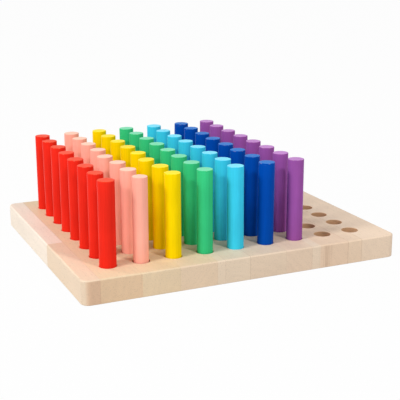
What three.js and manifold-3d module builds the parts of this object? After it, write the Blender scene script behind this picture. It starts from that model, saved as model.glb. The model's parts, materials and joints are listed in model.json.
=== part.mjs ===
// Rainbow sorting stick set: a drilled board of edge-glued staves, with painted round sticks in its holes.
// Millimetres, +Z up. The origin is the middle of the board's underside, columns run along X, rows along Y.

import * as THREE from 'three';
import { mergeVertices } from 'three/addons/utils/BufferGeometryUtils.js';
import Module from 'manifold-3d';

// Sticks
const STICK_DIAMETER = 12;
const STICK_LENGTH = 75;
const STICK_EASING = 0.6; // bevel at both ends

// Hole pattern, with every stick colour filling one column from the left
const COLUMN_COUNT = 9;
const ROW_COUNT = 8;
const COLUMN_PITCH = 25;
const ROW_PITCH = 23.25;
const HOLE_CLEARANCE = 0.3; // play all round between a stick and its hole
const HOLE_DEPTH = 12.5;
const HOLE_EASING = 0.3; // bevel at the mouth

// Board
const BOARD_THICKNESS = 18;
const SIDE_MARGIN = 26.5; // from the outer columns' centres to the board's sides
const END_MARGIN = 24.25; // from the outer rows' centres to the board's front and back
const CORNER_RADIUS = 6;
const EDGE_RADIUS = 1.2; // round-over along the top and bottom edges
const GLUE_LINES = [ 4, 7, 8 ]; // how many columns of holes lie to the left of each
const GLUE_LINE_WALL = 1.9; // wood between a glue line and the hole mouths on its left

// Smoothness
const ROUND_SIDES = 16;
const CORNER_STEPS = 6;
const EDGE_STEPS = 3;
const CUT_OVERLAP = 2; // how far cutters run past the surfaces that they cut

// Finishes
const PAINTS = [
	{ name: 'red', colour: 0xe92b20 },
	{ name: 'pink', colour: 0xfbae9b },
	{ name: 'yellow', colour: 0xf5d300 },
	{ name: 'green', colour: 0x3fc482 },
	{ name: 'light_blue', colour: 0x48cbe9 },
	{ name: 'dark_blue', colour: 0x024ca5 },
	{ name: 'purple', colour: 0x9d57a4 },
];
const PAINT_ROUGHNESS = 0.45;
const WOOD = 0xe8cfb2;
const WOOD_ROUGHNESS = 0.6;

// Sizes that follow from the driving ones
const patternWidth = ( COLUMN_COUNT - 1 ) * COLUMN_PITCH;
const patternDepth = ( ROW_COUNT - 1 ) * ROW_PITCH;
const boardWidth = patternWidth + 2 * SIDE_MARGIN;
const boardDepth = patternDepth + 2 * END_MARGIN;
const stickRadius = STICK_DIAMETER / 2;
const holeRadius = stickRadius + HOLE_CLEARANCE;
const holeFloor = BOARD_THICKNESS - HOLE_DEPTH;

const columnX = ( column ) => column * COLUMN_PITCH - patternWidth / 2;
const rowY = ( row ) => row * ROW_PITCH - patternDepth / 2;

const wasm = await Module();
wasm.setup();

// A finish with no metal in it.
function finish( color, roughness ) {

	return new THREE.MeshStandardMaterial( { color, roughness, metalness: 0 } );

}

// A closed geometry as a solid that can be cut.
function toSolid( geometry ) {

	const bare = geometry.clone();
	bare.deleteAttribute( 'normal' );
	bare.deleteAttribute( 'uv' );
	const merged = mergeVertices( bare );
	return new wasm.Manifold( new wasm.Mesh( {
		numProp: 3,
		vertProperties: merged.attributes.position.array,
		triVerts: new Uint32Array( merged.index.array ),
	} ) );

}

// A cut solid back as a geometry.
function toGeometry( solid ) {

	const mesh = solid.getMesh();
	const geometry = new THREE.BufferGeometry();
	geometry.setAttribute( 'position', new THREE.BufferAttribute( mesh.vertProperties, 3 ) );
	geometry.setIndex( new THREE.BufferAttribute( mesh.triVerts, 1 ) );
	geometry.computeVertexNormals();
	return geometry;

}

// A solid of revolution about Z through [radius, height] points that start and end on the axis.
function turned( profile ) {

	const points = profile.map( ( [ radius, height ] ) => new THREE.Vector2( radius, height ) );
	return new THREE.LatheGeometry( points, ROUND_SIDES ).rotateX( Math.PI / 2 );

}

// One stick standing on the origin, with both rims bevelled.
function stickGeometry() {

	const inner = stickRadius - STICK_EASING;
	return turned( [
		[ 0, 0 ],
		[ inner, 0 ],
		[ stickRadius, STICK_EASING ],
		[ stickRadius, STICK_LENGTH - STICK_EASING ],
		[ inner, STICK_LENGTH ],
		[ 0, STICK_LENGTH ],
	] );

}

// A drill's cut on the Z axis: a flat-bottomed hole whose bevelled mouth runs on past the board's top.
function drillGeometry() {

	const mouth = BOARD_THICKNESS - HOLE_EASING;
	const above = BOARD_THICKNESS + CUT_OVERLAP;
	const flare = holeRadius + above - mouth;
	return turned( [
		[ 0, holeFloor ],
		[ holeRadius, holeFloor ],
		[ holeRadius, mouth ],
		[ flare, above ],
		[ 0, above ],
	] );

}

// The undrilled board: a rectangle with round corners, its top and bottom edges rounded over.
function panelGeometry() {

	const x = boardWidth / 2;
	const y = boardDepth / 2;
	const r = CORNER_RADIUS;
	const quarter = Math.PI / 2;
	const outline = new THREE.Shape();
	outline.absarc( x - r, y - r, r, 0, quarter );
	outline.absarc( r - x, y - r, r, quarter, 2 * quarter );
	outline.absarc( r - x, r - y, r, 2 * quarter, 3 * quarter );
	outline.absarc( x - r, r - y, r, 3 * quarter, 4 * quarter );
	const geometry = new THREE.ExtrudeGeometry( outline, {
		depth: BOARD_THICKNESS - 2 * EDGE_RADIUS,
		curveSegments: CORNER_STEPS,
		bevelThickness: EDGE_RADIUS,
		bevelSize: EDGE_RADIUS,
		bevelOffset: - EDGE_RADIUS,
		bevelSegments: EDGE_STEPS,
	} );
	return geometry.translate( 0, 0, EDGE_RADIUS );

}

// One stave: the panel between two glue lines, drilled with its own columns of holes.
function staveGeometry( panel, left, right, firstColumn, endColumn ) {

	const strip = new THREE.BoxGeometry(
		right - left,
		boardDepth + 2 * CUT_OVERLAP,
		BOARD_THICKNESS + 2 * CUT_OVERLAP,
	).translate( ( left + right ) / 2, 0, BOARD_THICKNESS / 2 );
	let stave = panel.intersect( toSolid( strip ) );
	const drill = drillGeometry();
	for ( let column = firstColumn; column < endColumn; column ++ ) {

		for ( let row = 0; row < ROW_COUNT; row ++ ) {

			const hole = drill.clone().translate( columnX( column ), rowY( row ), 0 );
			stave = stave.subtract( toSolid( hole ) );

		}

	}

	return toGeometry( stave );

}

// The board: its staves side by side, glued face to face just past a column of holes.
function makeBoard() {

	const board = new THREE.Group();
	const panel = toSolid( panelGeometry() );
	const pastSide = boardWidth / 2 + CUT_OVERLAP;
	const pastHole = holeRadius + HOLE_EASING + GLUE_LINE_WALL;
	const glueX = GLUE_LINES.map( ( column ) => columnX( column - 1 ) + pastHole );
	const sides = [ - pastSide, ...glueX, pastSide ];
	const columns = [ 0, ...GLUE_LINES, COLUMN_COUNT ];
	for ( let i = 0; i < sides.length - 1; i ++ ) {

		const geometry = staveGeometry( panel, sides[ i ], sides[ i + 1 ], columns[ i ], columns[ i + 1 ] );
		const stave = new THREE.Mesh( geometry, finish( WOOD, WOOD_ROUGHNESS ) );
		stave.name = `board_stave_${ i + 1 }`;
		board.add( stave );

	}

	return board;

}

// One colour's sticks, standing on the floors of one column of holes.
function makeSticks( { name, colour }, column ) {

	const sticks = new THREE.Group();
	sticks.position.set( columnX( column ), 0, holeFloor );
	for ( let row = 0; row < ROW_COUNT; row ++ ) {

		const stick = new THREE.Mesh( stickGeometry(), finish( colour, PAINT_ROUGHNESS ) );
		stick.name = `${ name }_stick_${ row + 1 }`;
		stick.position.y = rowY( row );
		sticks.add( stick );

	}

	return sticks;

}

const stickSet = new THREE.Group();
stickSet.add( makeBoard() );
PAINTS.forEach( ( paint, column ) => stickSet.add( makeSticks( paint, column ) ) );

export default stickSet;
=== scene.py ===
"""Looks of a rainbow sorting stick set: painted sticks standing in a drilled board of edge-glued beech.

Metres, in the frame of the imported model: X runs from column to column of holes, Y from front to back and
Z up, with the origin in the middle of the board's underside.
"""

from __future__ import annotations

import json
import logging
import math
import random
from collections.abc import Callable, Iterator, Mapping, Sequence
from contextlib import contextmanager
from dataclasses import dataclass
from enum import Enum
from typing import Any

import bmesh
import bpy
from mathutils import Matrix, Vector


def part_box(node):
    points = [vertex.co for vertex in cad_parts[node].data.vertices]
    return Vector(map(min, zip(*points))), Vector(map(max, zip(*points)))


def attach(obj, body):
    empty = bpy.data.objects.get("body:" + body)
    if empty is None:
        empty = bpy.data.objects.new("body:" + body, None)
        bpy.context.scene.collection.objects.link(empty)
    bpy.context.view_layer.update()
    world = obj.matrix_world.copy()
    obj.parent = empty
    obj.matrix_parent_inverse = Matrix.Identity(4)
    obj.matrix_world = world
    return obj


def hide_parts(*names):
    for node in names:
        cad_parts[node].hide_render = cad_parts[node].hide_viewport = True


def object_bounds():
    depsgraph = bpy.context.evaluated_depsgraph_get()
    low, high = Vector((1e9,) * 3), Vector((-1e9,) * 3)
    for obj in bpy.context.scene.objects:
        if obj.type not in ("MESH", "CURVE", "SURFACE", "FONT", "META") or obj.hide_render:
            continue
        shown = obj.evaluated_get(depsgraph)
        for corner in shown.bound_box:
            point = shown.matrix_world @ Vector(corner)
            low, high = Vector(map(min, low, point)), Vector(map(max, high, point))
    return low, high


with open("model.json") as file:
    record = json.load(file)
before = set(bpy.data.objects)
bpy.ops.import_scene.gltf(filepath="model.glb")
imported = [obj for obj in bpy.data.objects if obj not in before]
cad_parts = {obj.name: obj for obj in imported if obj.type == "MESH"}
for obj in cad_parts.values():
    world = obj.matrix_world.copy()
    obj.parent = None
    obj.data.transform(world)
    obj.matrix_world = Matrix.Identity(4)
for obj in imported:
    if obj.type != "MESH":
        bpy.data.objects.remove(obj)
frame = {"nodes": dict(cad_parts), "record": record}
CAD_LOW, CAD_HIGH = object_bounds()

MM = 0.001
PER_METRE = 1000.0  # millimetres in a metre
NOISE_LEVELS = (0.3, 0.7)  # nearly all of a noise lies between these
BUMP_STRENGTH = 0.5
FACTOR, FIRST, SECOND = 0, 6, 7  # the sockets of a colour mix
MIXED = 2  # where its colour comes out
LOW_CORNER, HIGH_CORNER = 9, 10  # the sockets for the two ends of a range of vectors
LEVEL = 0.99  # a face whose normal's Z passes this counts as level

log = logging.getLogger("stick_set")

Rgba = tuple[float, float, float, float]
Point = tuple[float, float, float]
Span = tuple[float, float]  # the two ends of a range


class Element(Enum):
    """What is picked in edit mode: the select mode's name, and where a mesh keeps such elements."""

    EDGE = "edges"
    FACE = "faces"


class Paint(Enum):
    """The paints in the order of the columns, each with its colour on the sides and on the tops.

    The top colour is paler partly from paint soaked into end grain and partly as painted light from above.
    """

    RED = ("EA2B1C", "EE461F")
    PINK = ("FDB19D", "FFC8B1")
    YELLOW = ("F5D401", "FFDF20")
    GREEN = ("37C47F", "75D9AB")
    LIGHT_BLUE = ("3BCAEB", "78DEF8")
    DARK_BLUE = ("0148A8", "006CC3")
    PURPLE = ("9953A2", "BC7FC6")

    @property
    def label(self) -> str:
        """The paint's name as the nodes and slots write it."""
        return self.name.lower()


# Sticks that differ plainly from the rest: the front row's girths, and those that lean well to one side.
FRONT_ROW_GIRTHS: dict[Paint, float] = {  # as shares of the usual diameter
    Paint.RED: 1.03,
    Paint.PINK: 0.93,
    Paint.YELLOW: 0.99,
    Paint.GREEN: 0.98,
    Paint.LIGHT_BLUE: 1.035,
    Paint.DARK_BLUE: 1.015,
    Paint.PURPLE: 1.015,
}
LEANING_STICKS: dict[str, float] = {  # degrees towards +X
    "pink_stick_4": -1.7,
    "yellow_stick_3": -1.8,
    "light_blue_stick_2": 0.8,
    "light_blue_stick_3": 0.7,
    "light_blue_stick_4": 0.7,
    "light_blue_stick_5": 0.5,
    "dark_blue_stick_1": 0.8,
    "dark_blue_stick_6": 0.7,
    "dark_blue_stick_7": 0.5,
    "dark_blue_stick_8": 1.3,
    "purple_stick_8": 1.2,
}


def linear(hex_colour: str) -> Rgba:
    """Turns an sRGB hex colour to linear light, by the formula that defines sRGB.

    Args:
        hex_colour: six hex digits.

    Returns:
        Red, green, blue and an alpha of 1.
    """
    channels = [int(hex_colour[i : i + 2], 16) / 255 for i in (0, 2, 4)]
    red, green, blue = (c / 12.92 if c <= 0.04045 else ((c + 0.055) / 1.055) ** 2.4 for c in channels)
    return red, green, blue, 1.0


def add_node(
    tree: bpy.types.NodeTree,
    kind: str,
    inputs: Mapping[str | int, Any] | Sequence[Any] = (),
    stops: Sequence[tuple[float, Rgba]] = (),
    **settings: Any,
) -> bpy.types.Node:
    """Adds a shader node with its settings and links.

    Args:
        tree: the node tree that gets the node.
        kind: the node's type, without the ShaderNode that every name starts with.
        inputs: what goes into the sockets, in order or by name: a socket is linked, a node is linked by
            its first output, and anything else is set.
        stops: the places and colours of a colour ramp.
        settings: the node's own properties.

    Returns:
        The new node.
    """
    node = tree.nodes.new(f"ShaderNode{kind}")
    for name, value in settings.items():
        setattr(node, name, value)
    for key, value in inputs.items() if isinstance(inputs, Mapping) else enumerate(inputs):
        if isinstance(value, bpy.types.Node):
            value = value.outputs[0]
        if isinstance(value, bpy.types.NodeSocket):
            tree.links.new(value, node.inputs[key])
        else:
            node.inputs[key].default_value = value
    for index, (place, colour) in enumerate(stops):
        ramp = node.color_ramp.elements
        stop = ramp[index] if index < len(ramp) else ramp.new(place)
        stop.position = place
        stop.color = colour
    return node


def new_material(name: str) -> tuple[bpy.types.Material, bpy.types.NodeTree]:
    """Makes a material with an empty node tree.

    Args:
        name: the material's name.

    Returns:
        The material and its tree.
    """
    material = bpy.data.materials.new(name)
    material.use_nodes = True
    material.node_tree.nodes.clear()
    return material, material.node_tree


def add_place(tree: bpy.types.NodeTree) -> tuple[bpy.types.Node, bpy.types.Node]:
    """Adds the place on a piece that a finish's patterns are drawn at.

    Args:
        tree: the material's tree.

    Returns:
        The piece's own coordinates and normals, and the place in millimetres.
    """
    place = add_node(tree, "TexCoord")
    scale = {0: place.outputs["Object"], "Scale": PER_METRE}
    return place, add_node(tree, "VectorMath", scale, operation="SCALE")


def add_specks(
    tree: bpy.types.NodeTree, in_mm: bpy.types.Node, size_mm: Point, detail: float
) -> bpy.types.Node:
    """Adds an irregular pattern that may be drawn out along the grain.

    Args:
        tree: the material's tree.
        in_mm: the node that gives the place in millimetres.
        size_mm: how far the pattern's specks reach along X, Y and Z.
        detail: how many finer layers the pattern has.

    Returns:
        The node that gives the pattern.
    """
    scale = tuple(1 / reach for reach in size_mm)
    drawn = add_node(tree, "VectorMath", (in_mm, scale), operation="MULTIPLY")
    return add_node(tree, "TexNoise", {"Vector": drawn, "Scale": 1.0, "Detail": detail})


def add_surface(
    tree: bpy.types.NodeTree, look: Mapping[str, Any], height: bpy.types.Node, relief_mm: float
) -> None:
    """Adds a surface with relief, and makes it what the material shows.

    Args:
        tree: the material's tree.
        look: the surface's colour, roughness and IOR.
        height: the node that gives the relief.
        relief_mm: how deep the relief is.
    """
    depth = {"Strength": BUMP_STRENGTH, "Distance": relief_mm * MM, "Height": height}
    relief = add_node(tree, "Bump", depth)
    surface = add_node(tree, "BsdfPrincipled", {**look, "Normal": relief})
    add_node(tree, "OutputMaterial", {"Surface": surface})


def grey(level: float) -> Rgba:
    """A grey of that linear level."""
    return level, level, level, 1.0


def select_only(*pieces: bpy.types.Object) -> None:
    """Selects these objects and no others, and makes the last one active."""
    bpy.ops.object.select_all(action="DESELECT")
    for piece in pieces:
        piece.select_set(True)
        bpy.context.view_layer.objects.active = piece


@contextmanager
def edit_mode(piece: bpy.types.Object) -> Iterator[None]:
    """Holds one object in edit mode.

    Args:
        piece: the object to shape.

    Yields:
        Nothing.
    """
    select_only(piece)
    bpy.ops.object.mode_set(mode="EDIT")
    yield
    bpy.ops.object.mode_set(mode="OBJECT")


def pick(piece: bpy.types.Object, element: Element, test: Callable[[Any], bool]) -> None:
    """Selects the edges or faces of an object in edit mode that pass a test.

    Args:
        piece: the object in edit mode.
        element: edges or faces.
        test: says whether an edge or face of the mesh is wanted.
    """
    bpy.ops.mesh.select_mode(type=element.name)
    bpy.ops.mesh.select_all(action="DESELECT")
    mesh = bmesh.from_edit_mesh(piece.data)
    for item in getattr(mesh, element.value):
        if test(item):
            item.select_set(True)
    mesh.select_flush_mode()
    bmesh.update_edit_mesh(piece.data)


def climb(edge: bmesh.types.BMEdge) -> float:
    """How much higher one end of an edge lies than the other."""
    first, second = edge.verts
    return abs(first.co.z - second.co.z)


def add_modifier(piece: bpy.types.Object, kind: str, **settings: Any) -> None:
    """Adds a modifier and applies it.

    Args:
        piece: the object that gets it.
        kind: the modifier's type.
        settings: the modifier's own properties.
    """
    select_only(piece)
    bpy.ops.object.modifier_add(type=kind)
    modifier = piece.modifiers[-1]
    for name, value in settings.items():
        setattr(modifier, name, value)
    bpy.ops.object.modifier_apply(modifier=modifier.name)


def copy_of(piece: bpy.types.Object, name: str) -> bpy.types.Object:
    """Copies an object with its own mesh.

    Args:
        piece: the object to copy.
        name: the copy's name.

    Returns:
        The copy, selected alone.
    """
    select_only(piece)
    bpy.ops.object.duplicate(linked=False)
    copy = bpy.context.view_layer.objects.active
    copy.name = name
    copy.data.name = name
    return copy


def discard(piece: bpy.types.Object) -> None:
    """Deletes an object that only served to make others."""
    bpy.data.objects.remove(piece)


@dataclass(frozen=True)
class SatinPaint:
    """Satin water-based paint, sprayed over a turned beech stick.

    The wood's long grain shows through as faint streaks. The end grain at the top drinks the paint, which
    leaves it mottled; its paler colour there is partly that and partly painted light from above. At the
    rims the paint is thin enough for a little wood to show.
    """

    paint: Paint
    ior: float = 1.1  # well under paint's usual 1.5, because this paint has hardly any gloss
    roughness: Span = (0.28, 0.36)
    grain_width_mm: float = 0.9  # real grain is finer; this is as fine as the render shows
    grain_length_mm: float = 24.0
    grain_shades: Span = (0.95, 1.04)
    cloud_size_mm: float = 26.0
    cloud_shades: Span = (0.94, 1.05)
    pore_size_mm: float = 0.9
    end_slopes: Span = (0.9, 0.99)  # how far up the ends face, where they begin and in full
    rim_slopes: tuple[float, ...] = (0.12, 0.4, 0.86, 0.985)  # how far up the rims face
    worn_size_mm: float = 2.0
    worn_levels: Span = (0.52, 0.68)
    worn_depths: Span = (0.0, 0.35)
    bare_wood: str = "EBD0B2"
    relief_mm: float = 0.03

    def material(self) -> bpy.types.Material:
        """Builds the paint's material.

        Returns:
            The material, for any stick of this colour.
        """
        material, tree = new_material(f"satin_{self.paint.label}_paint_on_beech")
        place, in_mm = add_place(tree)
        slope = add_node(tree, "SeparateXYZ", [place.outputs["Normal"]])
        upward = slope.outputs["Z"]
        width, length = self.grain_width_mm, self.grain_length_mm
        grain = add_specks(tree, in_mm, (width, width, length), detail=3.0)
        cloud, pores, patches = (
            add_specks(tree, in_mm, (size, size, size), detail=2.0)
            for size in (self.cloud_size_mm, self.pore_size_mm, self.worn_size_mm)
        )

        # Shade: soft clouds from stick to stick, streaks down the sides and mottling on the ends.
        is_end = add_node(tree, "MapRange", (upward, *self.end_slopes))
        streak = add_node(tree, "Mix", {"Factor": is_end, "A": grain, "B": pores})
        streaks = add_node(tree, "MapRange", (streak, *NOISE_LEVELS, *self.grain_shades))
        clouds = add_node(tree, "MapRange", (cloud, *NOISE_LEVELS, *self.cloud_shades))
        shade = add_node(tree, "Math", (streaks, clouds), operation="MULTIPLY")
        # The tops take the paler end colour: partly paint soaked into end grain, partly painted light from
        # above.
        on_side, on_end = map(linear, self.paint.value)
        tint = add_node(tree, "Mix", {FACTOR: is_end, FIRST: on_side, SECOND: on_end}, data_type="RGBA")
        tone = add_node(tree, "HueSaturation", {"Value": shade, "Color": tint.outputs[MIXED]})

        # Rims: small patches where the paint is thin.
        stops = list(zip(self.rim_slopes, map(grey, (0, 1, 1, 0))))
        on_rim = add_node(tree, "ValToRGB", [upward], stops)
        thin = add_node(tree, "MapRange", (patches, *self.worn_levels, *self.worn_depths))
        worn = add_node(tree, "Math", (on_rim, thin), operation="MULTIPLY")
        wear = {FACTOR: worn, FIRST: tone, SECOND: linear(self.bare_wood)}
        colour = add_node(tree, "Mix", wear, data_type="RGBA")

        # Gloss and relief follow the grain.
        gloss = add_node(tree, "MapRange", (streak, *NOISE_LEVELS, *self.roughness))
        look = {"Base Color": colour.outputs[MIXED], "Roughness": gloss, "IOR": self.ior}
        add_surface(tree, look, streak, self.relief_mm)
        return material


@dataclass(frozen=True)
class Stave:
    """One strip of the glued board's wood: where it ends on its right-hand side, and its tint.

    End grain that drank more oil than the rest has a tint of its own, and some glue lines show more than
    others.
    """

    right_mm: float
    tint: str
    end_tint: str | None = None
    joint: float = 0.12  # how plainly the glue line on the right-hand side shows


@dataclass(frozen=True)
class OiledBeech:
    """Beech staves, edge-glued, sanded and lightly oiled.

    Each stave has a tint and growth rings of its own, seen as long faint figure on top and as arcs on the
    end grain at the front and back. There are short dark flecks along the grain, and thin glue lines
    between the staves.
    """

    staves: tuple[Stave, ...] = (
        Stave(-114.0, "E4CDB2", end_tint="D9B697", joint=0.35),
        Stave(-84.0, "E3CCAA", end_tint="E1C29F"),
        Stave(-55.0, "E3CBA9"),
        Stave(-26.0, "E4CBAE"),
        Stave(-19.5, "E6D1B8", joint=0.3),
        Stave(0.5, "E3CEB5", joint=0.35),
        Stave(30.0, "E1CAB1"),
        Stave(52.0, "E1C8AF"),
        Stave(58.5, "E5CFB7"),
        Stave(83.5, "E4C8AD", joint=0.35),
        Stave(95.6, "E5CBB0", joint=0.35),
        Stave(126.5, "E8D0B7"),
    )
    butt_joint_mm: float = -17.0  # where the left-hand stave ends and a paler one goes on to the back
    butt_tint: str = "F0E2D1"
    end_slopes: Span = (0.75, 0.98)  # how far to the front or back end grain faces
    end_shades: Span = (1.0, 1.03)
    ring_width_mm: float = 3.6
    ring_shades: Span = (1.014, 0.978)
    ring_bend_mm: float = 16.0
    ring_bend_width_mm: float = 35.0
    ring_bend_length_mm: float = 70.0
    pith_aside_mm: float = 22.0  # how far to one side the middle of the tree may lie
    pith_below_mm: Span = (16.0, 70.0)
    fibre_width_mm: float = 0.7  # real fibres are finer; this is as fine as the render shows
    fibre_length_mm: float = 20.0
    fibre_shades: Span = (0.98, 1.02)
    fleck_width_mm: float = 0.6
    fleck_length_mm: float = 4.0
    fleck_levels: Span = (0.66, 0.76)
    fleck_shades: Span = (1.0, 0.87)
    blotch_size_mm: float = 35.0
    blotch_levels: Span = (0.35, 0.65)
    blotch_shades: Span = (0.975, 1.025)
    glue_width_mm: float = 0.5
    glue_levels: Span = (0.35, 0.6)
    glue_depths: Span = (0.4, 1.0)
    glue_colour: str = "A9805C"
    streak_middle_mm: float = 65.0
    streak_reach_mm: float = 6.5
    streak_width_mm: float = 1.5
    streak_length_mm: float = 60.0
    streak_levels: Span = (0.45, 0.7)
    streak_depths: Span = (0.0, 0.48)
    streak_colour: str = "B58F72"
    ior: float = 1.42
    roughness: Span = (0.5, 0.62)
    relief_mm: float = 0.04

    def material(self) -> bpy.types.Material:
        """Builds the board's wood.

        Returns:
            The material, for all of the board's staves.
        """
        material, tree = new_material("oiled_edge_glued_beech")
        place, in_mm = add_place(tree)
        across = add_node(tree, "SeparateXYZ", [in_mm])
        slope = add_node(tree, "SeparateXYZ", [place.outputs["Normal"]])
        facing = add_node(tree, "Math", [slope.outputs["Y"]], operation="ABSOLUTE")
        end_grain = add_node(tree, "MapRange", (facing, *self.end_slopes))

        tints = [stave.tint for stave in self.staves]
        end_tints = [stave.end_tint or stave.tint for stave in self.staves]
        tint = self._stave_tints(tree, across, tints)
        end_tint = self._stave_tints(tree, across, end_tints)
        rings = self._growth_rings(tree, in_mm, tint)
        fibre, fleck, blotch = (
            add_specks(tree, in_mm, (width, length, width), detail)
            for width, length, detail in (
                (self.fibre_width_mm, self.fibre_length_mm, 3.0),
                (self.fleck_width_mm, self.fleck_length_mm, 0.0),
                (self.blotch_size_mm, self.blotch_size_mm, 1.0),
            )
        )

        # Shade: rings, fibres, blotches and flecks each darken or lighten the stave's tint a little.
        shade = add_node(tree, "MapRange", (rings, *NOISE_LEVELS, *self.ring_shades))
        for pattern, levels, shades in (
            (fibre, NOISE_LEVELS, self.fibre_shades),
            (blotch, self.blotch_levels, self.blotch_shades),
            (fleck, self.fleck_levels, self.fleck_shades),
            (end_grain, (0.0, 1.0), self.end_shades),
        ):
            step = add_node(tree, "MapRange", (pattern, *levels, *shades))
            shade = add_node(tree, "Math", (shade, step), operation="MULTIPLY")
        cut = {FACTOR: end_grain, FIRST: tint.outputs[MIXED], SECOND: end_tint.outputs[MIXED]}
        bare = add_node(tree, "Mix", cut, data_type="RGBA")
        wood = add_node(tree, "HueSaturation", {"Value": shade, "Color": bare.outputs[MIXED]})

        # Marks: dark streaks of heartwood, and glue lines that come and go along their length.
        colour = wood.outputs[0]
        for marks, dark in (
            (self._heartwood(tree, in_mm, across, end_grain), self.streak_colour),
            (self._glue_lines(tree, across, blotch), self.glue_colour),
        ):
            mix = {FACTOR: marks, FIRST: colour, SECOND: linear(dark)}
            colour = add_node(tree, "Mix", mix, data_type="RGBA").outputs[MIXED]

        gloss = add_node(tree, "MapRange", (fibre, *NOISE_LEVELS, *self.roughness))
        look = {"Base Color": colour, "Roughness": gloss, "IOR": self.ior}
        add_surface(tree, look, fibre, self.relief_mm)
        return material

    def _heartwood(
        self,
        tree: bpy.types.NodeTree,
        in_mm: bpy.types.Node,
        across: bpy.types.Node,
        end_grain: bpy.types.Node,
    ) -> bpy.types.Node:
        """Adds the dark streaks of heartwood in the end grain of one stave.

        Args:
            tree: the material's tree.
            in_mm: the node that gives the place in millimetres.
            across: the node that gives the place's separate coordinates, in millimetres.
            end_grain: the node that gives 1 on end grain.

        Returns:
            A node that gives how dark a streak is, which is 0 beside the streaks.
        """
        length = self.streak_length_mm
        reach = self.streak_reach_mm
        streak = add_specks(tree, in_mm, (self.streak_width_mm, length, length), detail=1.0)
        dark = add_node(tree, "MapRange", (streak, *self.streak_levels, *self.streak_depths))
        place = (across.outputs["X"], self.streak_middle_mm)
        aside = add_node(tree, "Math", place, operation="SUBTRACT")
        away = add_node(tree, "Math", [aside], operation="ABSOLUTE")
        band = add_node(tree, "MapRange", (away, reach, reach / 2))
        on_end = add_node(tree, "Math", (band, end_grain), operation="MULTIPLY")
        return add_node(tree, "Math", (dark, on_end), operation="MULTIPLY")

    def _glue_lines(
        self, tree: bpy.types.NodeTree, across: bpy.types.Node, blotch: bpy.types.Node
    ) -> bpy.types.Node:
        """Adds the glue lines between the staves.

        Args:
            tree: the material's tree.
            across: the node that gives the place's separate coordinates, in millimetres.
            blotch: the node whose pattern the lines come and go with.

        Returns:
            A node that gives how plainly a line shows, which is 0 beside the lines.
        """
        lines: bpy.types.Node | float = 0.0
        for stave in self.staves[:-1]:
            place = (across.outputs["X"], stave.right_mm, self.glue_width_mm / 2)
            near = add_node(tree, "Math", place, operation="COMPARE")
            lines = add_node(tree, "Math", (near, stave.joint, lines), operation="MULTIPLY_ADD")
        depth = add_node(tree, "MapRange", (blotch, *self.glue_levels, *self.glue_depths))
        return add_node(tree, "Math", (lines, depth), operation="MULTIPLY")

    def _stave_tints(
        self, tree: bpy.types.NodeTree, across: bpy.types.Node, tints: Sequence[str]
    ) -> bpy.types.Node:
        """Adds the tint of the stave at each place.

        Args:
            tree: the material's tree.
            across: the node that gives the place's separate coordinates, in millimetres.
            tints: the staves' tints, left to right.

        Returns:
            A colour mix, with the left-hand stave's paler rear end in it.
        """
        x, y = across.outputs["X"], across.outputs["Y"]
        right = self.staves[-1].right_mm
        share = add_node(tree, "MapRange", (x, -right, right))
        starts = [0.0] + [(stave.right_mm + right) / (2 * right) for stave in self.staves[:-1]]
        ramp = add_node(tree, "ValToRGB", [share], list(zip(starts, map(linear, tints))))
        ramp.color_ramp.interpolation = "CONSTANT"
        first = add_node(tree, "Math", (x, self.staves[0].right_mm), operation="LESS_THAN")
        behind = add_node(tree, "Math", (y, self.butt_joint_mm), operation="GREATER_THAN")
        rear = add_node(tree, "Math", (first, behind), operation="MULTIPLY")
        mix = {FACTOR: rear, FIRST: ramp, SECOND: linear(self.butt_tint)}
        return add_node(tree, "Mix", mix, data_type="RGBA")

    def _growth_rings(
        self, tree: bpy.types.NodeTree, in_mm: bpy.types.Node, tint: bpy.types.Node
    ) -> bpy.types.Node:
        """Adds growth rings round each stave's own pith, which runs along Y.

        Args:
            tree: the material's tree.
            in_mm: the node that gives the place in millimetres.
            tint: the node that gives the stave's tint, from which its pith is drawn by lot.

        Returns:
            A noise that runs from ring to ring, since rings differ in width and darkness.
        """
        lot = add_node(tree, "TexWhiteNoise", {"Vector": tint.outputs[MIXED]})
        aside = self.pith_aside_mm
        near, far = self.pith_below_mm
        corners = {LOW_CORNER: (-aside, 0, near), HIGH_CORNER: (aside, 0, far)}
        drawn = {"Vector": lot.outputs["Color"], **corners}
        pith = add_node(tree, "MapRange", drawn, data_type="FLOAT_VECTOR")
        moved = add_node(tree, "VectorMath", (in_mm, pith.outputs[1]), operation="ADD")
        flat = add_node(tree, "VectorMath", (moved, (1, 0, 1)), operation="MULTIPLY")
        radius = add_node(tree, "VectorMath", [flat], operation="LENGTH")
        width, length = self.ring_bend_width_mm, self.ring_bend_length_mm
        bend = add_specks(tree, in_mm, (width, length, width), detail=2.0)
        path = (bend, self.ring_bend_mm, radius.outputs["Value"])
        bent = add_node(tree, "Math", path, operation="MULTIPLY_ADD")
        rings = {"W": bent, "Scale": 1 / self.ring_width_mm, "Detail": 2.0}
        return add_node(tree, "TexNoise", rings, noise_dimensions="1D")


@dataclass(frozen=True)
class DrilledBeech:
    """Beech inside the holes: rough, and a little browner and darker than the board's top.

    Part of that is the drilled wood's own colour, and part is painted shade of the recess.
    """

    # This colour holds painted shade of the holes as well as the drilled wood's own browner tone.
    colour: str = "D3AB84"
    shades: Span = (0.88, 1.08)
    ior: float = 1.42
    roughness: float = 0.75
    scrape_length_mm: float = 5.0
    scrape_height_mm: float = 0.8
    relief_mm: float = 0.1

    def material(self) -> bpy.types.Material:
        """Builds the holes' wood.

        Returns:
            The material, for every hole.
        """
        material, tree = new_material("drilled_beech")
        _, in_mm = add_place(tree)
        length = self.scrape_length_mm
        scrape = add_specks(tree, in_mm, (length, length, self.scrape_height_mm), detail=2.0)
        shade = add_node(tree, "MapRange", (scrape, *NOISE_LEVELS, *self.shades))
        colour = add_node(tree, "HueSaturation", {"Value": shade, "Color": linear(self.colour)})
        look = {"Base Color": colour, "Roughness": self.roughness, "IOR": self.ior}
        add_surface(tree, look, scrape, self.relief_mm)
        return material


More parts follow.
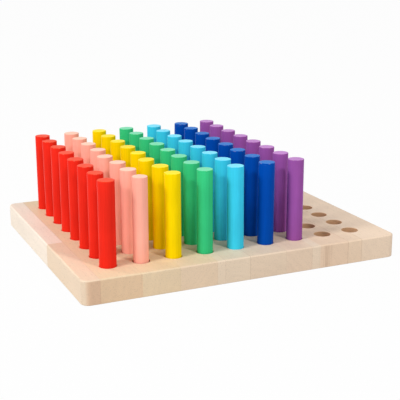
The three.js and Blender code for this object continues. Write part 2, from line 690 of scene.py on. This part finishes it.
@dataclass
class Sticks:
    """The painted sticks: one is turned, and each of the set is a copy that differs a little from it."""

    per_colour: int = 8
    sides: int = 48
    rim_radius: float = 0.3 * MM
    rim_steps: int = 3
    end_rings: int = 2
    end_ring_width: float = 1.5 * MM
    end_slant: float = math.radians(0.5)  # how far out of square the top is sawn
    length_cuts: int = 5
    hole_depth: float = 12.5 * MM  # a stick leans about the middle of this
    girth_spread: float = 0.012
    lean_spread: float = math.radians(0.2)
    cut_spread: float = 0.1 * MM
    most_spreads: float = 2.0  # how far from the usual a stick may be
    smooth_angle: float = math.radians(40)
    seed: int = 11

    def build(self) -> None:
        """Turns the pattern stick, then paints and places all the sticks."""
        draw = random.Random(self.seed)
        low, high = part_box(f"{Paint.RED.label}_stick_1")
        pattern = self._turn(high.x - low.x, high.z - low.z)
        for paint in Paint:
            finish = SatinPaint(paint).material()
            for number in range(1, self.per_colour + 1):
                node = f"{paint.label}_stick_{number}"
                girth = 1 + self._near(draw, self.girth_spread)
                if number == 1:
                    girth = FRONT_ROW_GIRTHS[paint]
                stick = self._stand(pattern, node, girth, draw)
                stick.data.materials.append(finish)
                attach(stick, node)
                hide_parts(node)
                log.info("%s stands in its hole, %d faces", stick.name, len(stick.data.polygons))
        discard(pattern)

    def _near(self, draw: random.Random, spread: float) -> float:
        """Draws a small difference either way.

        Args:
            draw: where it is drawn from.
            spread: its usual size.

        Returns:
            The difference.
        """
        most = self.most_spreads * spread
        return max(-most, min(most, draw.gauss(0, spread)))

    def _turn(self, diameter: float, length: float) -> bpy.types.Object:
        """Turns the pattern stick, standing on the origin.

        Args:
            diameter: the stick's diameter.
            length: its length.

        Returns:
            A stick with rounded rims, and a top that is sawn slightly out of square.
        """
        bpy.ops.object.select_all(action="DESELECT")
        bpy.ops.mesh.primitive_cylinder_add(
            vertices=self.sides, radius=diameter / 2, depth=length, location=(0, 0, length / 2)
        )
        stick = bpy.context.object
        bpy.ops.object.transform_apply(location=True, rotation=True, scale=True)
        drop = diameter / 2 * math.sin(self.end_slant)
        with edit_mode(stick):
            pick(stick, Element.EDGE, lambda edge: climb(edge) > length / 2)
            bpy.ops.mesh.subdivide(number_cuts=self.length_cuts)
            pick(stick, Element.FACE, lambda face: face.normal.z > LEVEL)
            top = (0, 0, length)
            bpy.ops.transform.rotate(value=self.end_slant, orient_axis="X", center_override=top)
            bpy.ops.transform.translate(value=(0, 0, -drop))
            pick(stick, Element.EDGE, lambda edge: any(map(self._is_end, edge.link_faces)))
            bpy.ops.mesh.bevel(offset=self.rim_radius, segments=self.rim_steps)
            pick(stick, Element.FACE, self._is_end)
            for _ in range(self.end_rings):
                bpy.ops.mesh.inset(thickness=self.end_ring_width)
        bpy.ops.object.shade_smooth_by_angle(angle=self.smooth_angle)
        return stick

    @staticmethod
    def _is_end(face: bmesh.types.BMFace) -> bool:
        """Tells the two round ends, the only faces with more than four corners."""
        return len(face.verts) > 4

    def _stand(
        self, pattern: bpy.types.Object, node: str, girth: float, draw: random.Random
    ) -> bpy.types.Object:
        """Copies the pattern stick into one stick's hole, with a length and lean of its own.

        Args:
            pattern: the pattern stick, standing on the origin.
            node: the stick's CAD node.
            girth: how thick the stick is, as a share of the pattern's diameter.
            draw: where the stick's differences are drawn from.

        Returns:
            The stick in place.
        """
        low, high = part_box(node)
        middle = (low + high) / 2
        radius = (high.x - low.x) / 2 * girth
        length = high.z - low.z
        lean_x = self._near(draw, self.lean_spread)
        lean_y = self._near(draw, self.lean_spread)
        lean_y += math.radians(LEANING_STICKS.get(node, 0.0))
        spin = draw.uniform(0, math.tau)
        cut = draw.uniform(0, self.cut_spread)
        tipped = radius * (abs(math.sin(lean_x)) + abs(math.sin(lean_y)))
        stature = (length - cut - 2 * tipped) / length
        pivot = Vector((0, 0, self.hole_depth / 2))
        stick = copy_of(pattern, f"painted_{node}")
        stick.matrix_world = (
            Matrix.Translation(Vector((middle.x, middle.y, low.z + tipped)) + pivot)
            @ Matrix.Rotation(lean_x, 4, "X")
            @ Matrix.Rotation(lean_y, 4, "Y")
            @ Matrix.Translation(-pivot)
            @ Matrix.Rotation(spin, 4, "Z")
            @ Matrix.Diagonal((girth, girth, stature, 1))
        )
        bpy.ops.object.transform_apply(location=True, rotation=True, scale=True)
        return stick


@dataclass
class Board:
    """The board: a panel of staves with round corners and edges, and blind holes drilled from the top."""

    stave_count: int = 4
    corner_radius: float = 6.0 * MM
    corner_steps: int = 12
    top_radius: float = 1.2 * MM
    bottom_radius: float = 0.6 * MM
    edge_steps: int = 4
    hole_play: float = 0.3 * MM  # all round between a stick and its hole
    hole_sides: int = 48
    mouth_radius: float = 0.3 * MM
    mouth_steps: int = 3
    overlap: float = 2.0 * MM  # how far the drill's cut runs on past the top
    sharp_angle: float = math.radians(50)
    face_weight: int = 100  # how much the shading follows the large faces

    def build(self) -> None:
        """Makes the panel, cuts it into staves along its glue lines, and drills and finishes each one."""
        nodes = [f"board_stave_{number}" for number in range(1, self.stave_count + 1)]
        wood = OiledBeech().material()
        drilled = DrilledBeech().material()
        panel = self._panel(nodes)
        drill = self._drill(nodes[0])
        drill.data.materials.append(drilled)
        for node in nodes:
            stave = self._stave(panel, node)
            stave.data.materials.append(wood)
            self._bore(stave, drill, node)
            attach(stave, "board")
            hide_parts(node)
            log.info("%s is drilled, %d faces", stave.name, len(stave.data.polygons))
        discard(panel)
        discard(drill)

    def _panel(self, nodes: Sequence[str]) -> bpy.types.Object:
        """Makes the whole board before it is cut and drilled.

        Args:
            nodes: the staves' CAD nodes, left to right.

        Returns:
            A panel with round corners and edges.
        """
        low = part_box(nodes[0])[0]
        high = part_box(nodes[-1])[1]
        size = high - low
        bpy.ops.object.select_all(action="DESELECT")
        bpy.ops.mesh.primitive_cube_add(size=1, location=(low + high) / 2, scale=size)
        panel = bpy.context.object
        bpy.ops.object.transform_apply(location=True, rotation=True, scale=True)
        middle = (low.z + high.z) / 2
        with edit_mode(panel):
            pick(panel, Element.EDGE, lambda edge: climb(edge) > size.z / 2)
            bpy.ops.mesh.bevel(offset=self.corner_radius, segments=self.corner_steps)
            for up, radius in ((1, self.top_radius), (-1, self.bottom_radius)):
                pick(panel, Element.EDGE, lambda edge: all((v.co.z - middle) * up > 0 for v in edge.verts))
                bpy.ops.mesh.bevel(offset=radius, segments=self.edge_steps)
        return panel

    def _drill(self, node: str) -> bpy.types.Object:
        """Makes what a drill takes out on the Z axis, with the rounding that sanding leaves at the mouth.

        Args:
            node: the CAD node of a stave.

        Returns:
            A closed cutter that stands on the height of the holes' floors.
        """
        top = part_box(node)[1].z
        stick_low, stick_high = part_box(f"{Paint.RED.label}_stick_1")
        radius = (stick_high.x - stick_low.x) / 2 + self.hole_play
        bpy.ops.object.select_all(action="DESELECT")
        bpy.ops.mesh.primitive_circle_add(
            vertices=self.hole_sides, radius=radius, fill_type="NGON", location=(0, 0, stick_low.z)
        )
        drill = bpy.context.object
        bpy.ops.object.transform_apply(location=True, rotation=True, scale=True)
        profile = [(radius, top - self.mouth_radius)]
        for step in range(1, self.mouth_steps + 1):
            angle = math.pi / 2 * step / self.mouth_steps
            flare = radius + self.mouth_radius * (1 - math.cos(angle))
            profile.append((flare, top - self.mouth_radius * (1 - math.sin(angle))))
        profile.append((profile[-1][0], top + self.overlap))
        with edit_mode(drill):
            bpy.ops.mesh.select_all(action="SELECT")
            last_radius, last_height = radius, stick_low.z
            for ring_radius, height in profile:
                rise = {"value": (0, 0, height - last_height)}
                bpy.ops.mesh.extrude_region_move(TRANSFORM_OT_translate=rise)
                grow = ring_radius / last_radius
                bpy.ops.transform.resize(value=(grow, grow, 1), center_override=(0, 0, 0))
                last_radius, last_height = ring_radius, height
            bpy.ops.mesh.select_all(action="SELECT")
            bpy.ops.mesh.normals_make_consistent(inside=False)
        return drill

    def _stave(self, panel: bpy.types.Object, node: str) -> bpy.types.Object:
        """Cuts one stave out of the panel.

        Args:
            panel: the whole board.
            node: the stave's CAD node.

        Returns:
            The stave, closed along its glue lines.
        """
        low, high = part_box(node)
        stave = copy_of(panel, f"drilled_{node}")
        with edit_mode(stave):
            for place, side in ((low, "clear_inner"), (high, "clear_outer")):
                if CAD_LOW.x < place.x < CAD_HIGH.x:
                    bpy.ops.mesh.select_all(action="SELECT")
                    bpy.ops.mesh.bisect(plane_co=place, plane_no=(1, 0, 0), use_fill=True, **{side: True})
        return stave

    def _bore(self, stave: bpy.types.Object, drill: bpy.types.Object, node: str) -> None:
        """Drills a stave's holes and smooths its round surfaces.

        Args:
            stave: the stave to drill.
            drill: the cutter on the Z axis.
            node: the stave's CAD node.
        """
        low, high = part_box(node)
        cutters = []
        for number, (x, y) in enumerate(hole_centres()):
            if low.x < x < high.x:
                cutter = copy_of(drill, f"cutter_{number}")
                bpy.ops.transform.translate(value=(x, y, 0))
                bpy.ops.object.transform_apply(location=True, rotation=True, scale=True)
                cutters.append(cutter)
        select_only(*cutters)
        bpy.ops.object.join()
        cutter = bpy.context.view_layer.objects.active
        add_modifier(
            stave,
            "BOOLEAN",
            operation="DIFFERENCE",
            solver="EXACT",
            object=cutter,
            material_mode="TRANSFER",
        )
        discard(cutter)
        select_only(stave)
        bpy.ops.object.shade_smooth_by_angle(angle=self.sharp_angle)
        add_modifier(stave, "WEIGHTED_NORMAL", keep_sharp=True, weight=self.face_weight)


def hole_centres() -> list[tuple[float, float]]:
    """Finds every hole in the board: under each stick, and the spare ones that are stated as openings.

    Returns:
        The holes' places in X and Y.
    """
    boxes = [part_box(node) for node in frame["nodes"] if "stick" in node]
    openings = frame["record"]["physics"]["openings"]
    boxes += [tuple(map(Vector, opening["box_m"])) for opening in openings]
    return [((low.x + high.x) / 2, (low.y + high.y) / 2) for low, high in boxes]


@dataclass(frozen=True)
class Lamp:
    """A soft square lamp: the way to it from what it lights, its size, and how bright it is.

    Its level is the share of its own colour that a white surface facing it shows.
    """

    name: str
    direction: Point
    size: float
    level: float
    distance: float = 1.5

    def hang(self, aim: Point) -> None:
        """Hangs the lamp.

        Args:
            aim: the place that it lights.
        """
        toward = Vector(self.direction).normalized()
        bpy.ops.object.select_all(action="DESELECT")
        bpy.ops.object.light_add(type="AREA", location=Vector(aim) + toward * self.distance)
        lamp = bpy.context.object
        lamp.name = self.name
        lamp.rotation_euler = toward.to_track_quat("Z", "Y").to_euler()
        lamp.data.shape = "SQUARE"
        lamp.data.size = self.size
        lamp.data.energy = self.level * (math.pi * self.distance) ** 2
        lamp.visible_camera = False


@dataclass
class Studio:
    """A white floor, soft lamps on the left, in front and behind, and the camera."""

    floor_size: float = 16.0
    floor_reflectance: float = 0.62
    floor_whiteness: float = 0.97  # how much of the floor's colour in the picture is plain white
    sky: float = 0.4
    lamps: tuple[Lamp, ...] = (
        Lamp("left_softbox", (-0.78, -0.22, 0.59), size=0.36, level=0.58),
        Lamp("front_lamp", (0.22, -0.71, 0.67), size=0.12, level=0.35),
        Lamp("back_lamp", (-0.45, 0.5, 0.74), size=0.25, level=0.18),
    )
    aim: Point = (0.0, 0.0, 0.04)
    camera_place: Point = (-0.30193, -0.69037, 0.24579)
    camera_turn: float = math.radians(-24.157)
    camera_dip: float = math.radians(15.740)
    camera_roll: float = math.radians(-0.180)
    lens: float = 86.41
    sensor: float = 36.0

    def build(self) -> None:
        """Sets up the floor, the sky, the lamps and the camera."""
        self._floor()
        self._sky()
        for lamp in self.lamps:
            lamp.hang(self.aim)
        self._camera()

    def _shown(self, tree: bpy.types.NodeTree, level: float) -> bpy.types.Node:
        """Adds a switch for what the camera, a reflection or a look through glass sees.

        Args:
            tree: the tree of the floor's material or of the world.
            level: what the switch gives for such rays.

        Returns:
            A node that gives the level for those rays and 0 for all others.
        """
        path = add_node(tree, "LightPath")
        seen = path.outputs["Is Camera Ray"]
        for ray in ("Is Glossy Ray", "Is Transmission Ray"):
            seen = add_node(tree, "Math", (seen, path.outputs[ray]), operation="MAXIMUM")
        return add_node(tree, "Math", (seen, level), operation="MULTIPLY")

    def _floor(self) -> None:
        """Lays the floor, which looks white with a faint shadow but bounces less light than white does."""
        material, tree = new_material("white_studio_paper")
        matt = add_node(tree, "BsdfDiffuse", {"Color": grey(self.floor_reflectance)})
        white = add_node(tree, "Emission", {"Strength": 1.0})
        shown = self._shown(tree, self.floor_whiteness)
        mix = add_node(tree, "MixShader", (shown, matt, white))
        add_node(tree, "OutputMaterial", {"Surface": mix})
        material.cycles.emission_sampling = "NONE"
        bpy.ops.object.select_all(action="DESELECT")
        bpy.ops.mesh.primitive_plane_add(size=self.floor_size, location=(0, 0, CAD_LOW.z))
        floor = bpy.context.object
        floor.name = "studio_floor"
        floor.data.materials.append(material)

    def _sky(self) -> None:
        """Sets the soft light from all round, which looks white."""
        world = bpy.data.worlds.new("soft_studio")
        world.use_nodes = True
        tree = world.node_tree
        tree.nodes.clear()
        shown = self._shown(tree, 1.0)
        mix = {FACTOR: shown, FIRST: grey(self.sky), SECOND: grey(1.0)}
        colour = add_node(tree, "Mix", mix, data_type="RGBA")
        light = add_node(tree, "Background", {"Color": colour.outputs[MIXED], "Strength": 1.0})
        add_node(tree, "OutputWorld", {"Surface": light})
        bpy.context.scene.world = world

    def _camera(self) -> None:
        """Stands the camera where the picture was taken from."""
        bpy.ops.object.select_all(action="DESELECT")
        bpy.ops.object.camera_add(location=self.camera_place)
        camera = bpy.context.object
        camera.rotation_euler = (
            Matrix.Rotation(self.camera_turn, 3, "Z")
            @ Matrix.Rotation(math.pi / 2 - self.camera_dip, 3, "X")
            @ Matrix.Rotation(self.camera_roll, 3, "Z")
        ).to_euler()
        camera.data.lens = self.lens
        camera.data.sensor_width = self.sensor
        bpy.context.scene.camera = camera
        bpy.context.scene.view_settings.view_transform = "Standard"


def main() -> None:
    """Builds the studio, the board and the sticks in order."""
    logging.basicConfig(level=logging.INFO, format="%(name)s: %(message)s")
    Studio().build()
    Board().build()
    Sticks().build()


if __name__ == "__main__":
    main()
